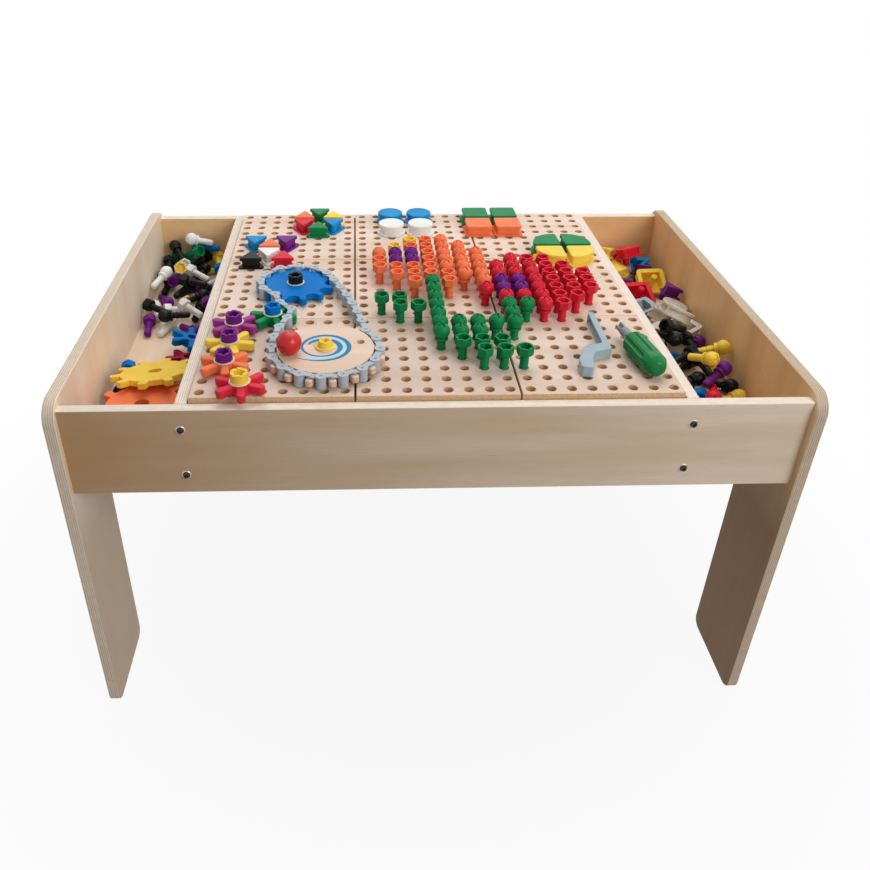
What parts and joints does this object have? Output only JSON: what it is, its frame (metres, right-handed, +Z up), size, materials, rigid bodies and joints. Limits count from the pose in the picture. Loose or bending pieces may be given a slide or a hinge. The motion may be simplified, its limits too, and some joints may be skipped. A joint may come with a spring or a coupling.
{
  "type": "activity table",
  "caption": "Low plywood play table with a peg-hole top, end bins, a crank gear driving a chain and flower gears, and colourful bolts, pegs and tools",
  "frame": {"origin": "on the floor under the centre of the table", "axes": "+X along the length to the right, +Y to the back, +Z up; the picture looks from -Y"},
  "size_m": [0.938, 0.649, 0.5683],
  "materials": {
    "birch_ply": "clear lacquered birch plywood",
    "solid_birch": "planed birch",
    "peg_board_ply": "clear lacquered board",
    "gear_wood": "clear lacquer, printed blue spiral",
    "zinc_steel": "zinc plated",
    "knob_red": "gloss lacquer",
    "orange_plastic": "moulded plastic with a soft sheen",
    "red_plastic": "moulded plastic with a soft sheen",
    "green_plastic": "moulded plastic with a soft sheen",
    "yellow_plastic": "moulded plastic with a soft sheen",
    "purple_plastic": "moulded plastic with a soft sheen",
    "white_plastic": "moulded plastic with a soft sheen",
    "black_plastic": "moulded plastic with a soft sheen",
    "blue_plastic": "moulded plastic with a soft sheen",
    "grey_plastic": "moulded plastic with a soft sheen",
    "clear_plastic": "moulded plastic with a soft sheen",
    "burgundy_plastic": "moulded plastic with a soft sheen"
  },
  "bodies": {
    "table": {"back_rail": "birch_ply", "black_bolts": "black_plastic", "black_hubs": "black_plastic", "black_pegs": "black_plastic", "blue_bolts": "blue_plastic", "blue_hubs": "blue_plastic", "blue_pegs": "blue_plastic", "board_bearers": "solid_birch", "chain_links": "grey_plastic", "clear_pegs": "clear_plastic", "connector_screws": "zinc_steel", "front_rail": "birch_ply", "green_bolts": "green_plastic", "green_pegs": "green_plastic", "grey_pegs": "grey_plastic", "hub_washers": "white_plastic", "left_bin_floor": "birch_ply", "left_divider": "birch_ply", "left_end_panel": "birch_ply", "loose_blue_flower": "blue_plastic", "loose_burgundy_flower": "burgundy_plastic", "loose_orange_flower": "orange_plastic", "loose_orange_gear": "orange_plastic", "loose_yellow_gear": "yellow_plastic", "orange_bolts": "orange_plastic", "orange_pegs": "orange_plastic", "peg_board_back_centre": "peg_board_ply", "peg_board_back_left": "peg_board_ply", "peg_board_back_right": "peg_board_ply", "peg_board_front_centre": "peg_board_ply", "peg_board_front_left": "peg_board_ply", "peg_board_front_right": "peg_board_ply", "peg_board_middle_centre": "peg_board_ply", "peg_board_middle_left": "peg_board_ply", "peg_board_middle_right": "peg_board_ply", "purple_bolts": "purple_plastic", "purple_hubs": "purple_plastic", "purple_pegs": "purple_plastic", "red_bolts": "red_plastic", "red_pegs": "red_plastic", "right_bin_floor": "birch_ply", "right_divider": "birch_ply", "right_end_panel": "birch_ply", "screw_cups": "zinc_steel", "white_bolts": "white_plastic", "white_pegs": "white_plastic", "yellow_bolts": "yellow_plastic", "yellow_hubs": "yellow_plastic", "yellow_pegs": "yellow_plastic"},
    "crank_gear": {"crank_gear": "gear_wood"},
    "crank_knob": {"crank_knob": "knob_red"},
    "blue_gear": {"blue_gear": "blue_plastic"},
    "green_flower": {"green_flower": "green_plastic"},
    "purple_flower": {"purple_flower": "purple_plastic"},
    "yellow_flower": {"yellow_flower": "yellow_plastic"},
    "orange_flower": {"orange_flower": "orange_plastic"},
    "red_flower": {"red_flower": "red_plastic"},
    "spanner": {"spanner": "grey_plastic"},
    "screwdriver": {"screwdriver_handle": "green_plastic", "screwdriver_blade": "grey_plastic"}
  },
  "joints": [
    {"name": "crank_gear_spin", "type": "hinge", "parent": "table", "child": "crank_gear", "pos_m": [-0.1375, -0.2125, 0.53], "axis": [0, 0, 1], "continuous": true, "deforming": ["chain_links"]},
    {"name": "blue_gear_spin", "type": "hinge", "parent": "table", "child": "blue_gear", "pos_m": [-0.1875, -0.0125, 0.53], "axis": [0, 0, 1], "continuous": true},
    {"name": "green_flower_spin", "type": "hinge", "parent": "table", "child": "green_flower", "pos_m": [-0.2125, -0.1125, 0.53], "axis": [0, 0, 1], "continuous": true},
    {"name": "purple_flower_spin", "type": "hinge", "parent": "table", "child": "purple_flower", "pos_m": [-0.2625, -0.1375, 0.53], "axis": [0, 0, 1], "continuous": true},
    {"name": "yellow_flower_spin", "type": "hinge", "parent": "table", "child": "yellow_flower", "pos_m": [-0.2625, -0.1875, 0.53], "axis": [0, 0, 1], "continuous": true},
    {"name": "orange_flower_spin", "type": "hinge", "parent": "table", "child": "orange_flower", "pos_m": [-0.2625, -0.2375, 0.53], "axis": [0, 0, 1], "continuous": true},
    {"name": "red_flower_spin", "type": "hinge", "parent": "table", "child": "red_flower", "pos_m": [-0.2375, -0.2875, 0.53], "axis": [0, 0, 1], "continuous": true},
    {"name": "crank_knob_spin", "type": "hinge", "parent": "crank_gear", "child": "crank_knob", "pos_m": [-0.18216, -0.22615, 0.53], "axis": [0, 0, 1], "continuous": true},
    {"name": "spanner_lift", "type": "slide", "parent": "table", "child": "spanner", "axis": [0, 0, 1], "range_m": [0, 0.15]},
    {"name": "screwdriver_lift", "type": "slide", "parent": "table", "child": "screwdriver", "axis": [0, 0, 1], "range_m": [0, 0.15]}
  ],
  "couplings": [
    {"joint": "blue_gear_spin", "follows": "crank_gear_spin", "ratio": 1.3333},
    {"joint": "green_flower_spin", "follows": "crank_gear_spin", "ratio": -2.6667},
    {"joint": "purple_flower_spin", "follows": "crank_gear_spin", "ratio": 2.6667},
    {"joint": "yellow_flower_spin", "follows": "crank_gear_spin", "ratio": -2.6667},
    {"joint": "orange_flower_spin", "follows": "crank_gear_spin", "ratio": 2.6667},
    {"joint": "red_flower_spin", "follows": "crank_gear_spin", "ratio": -2.6667}
  ]
}
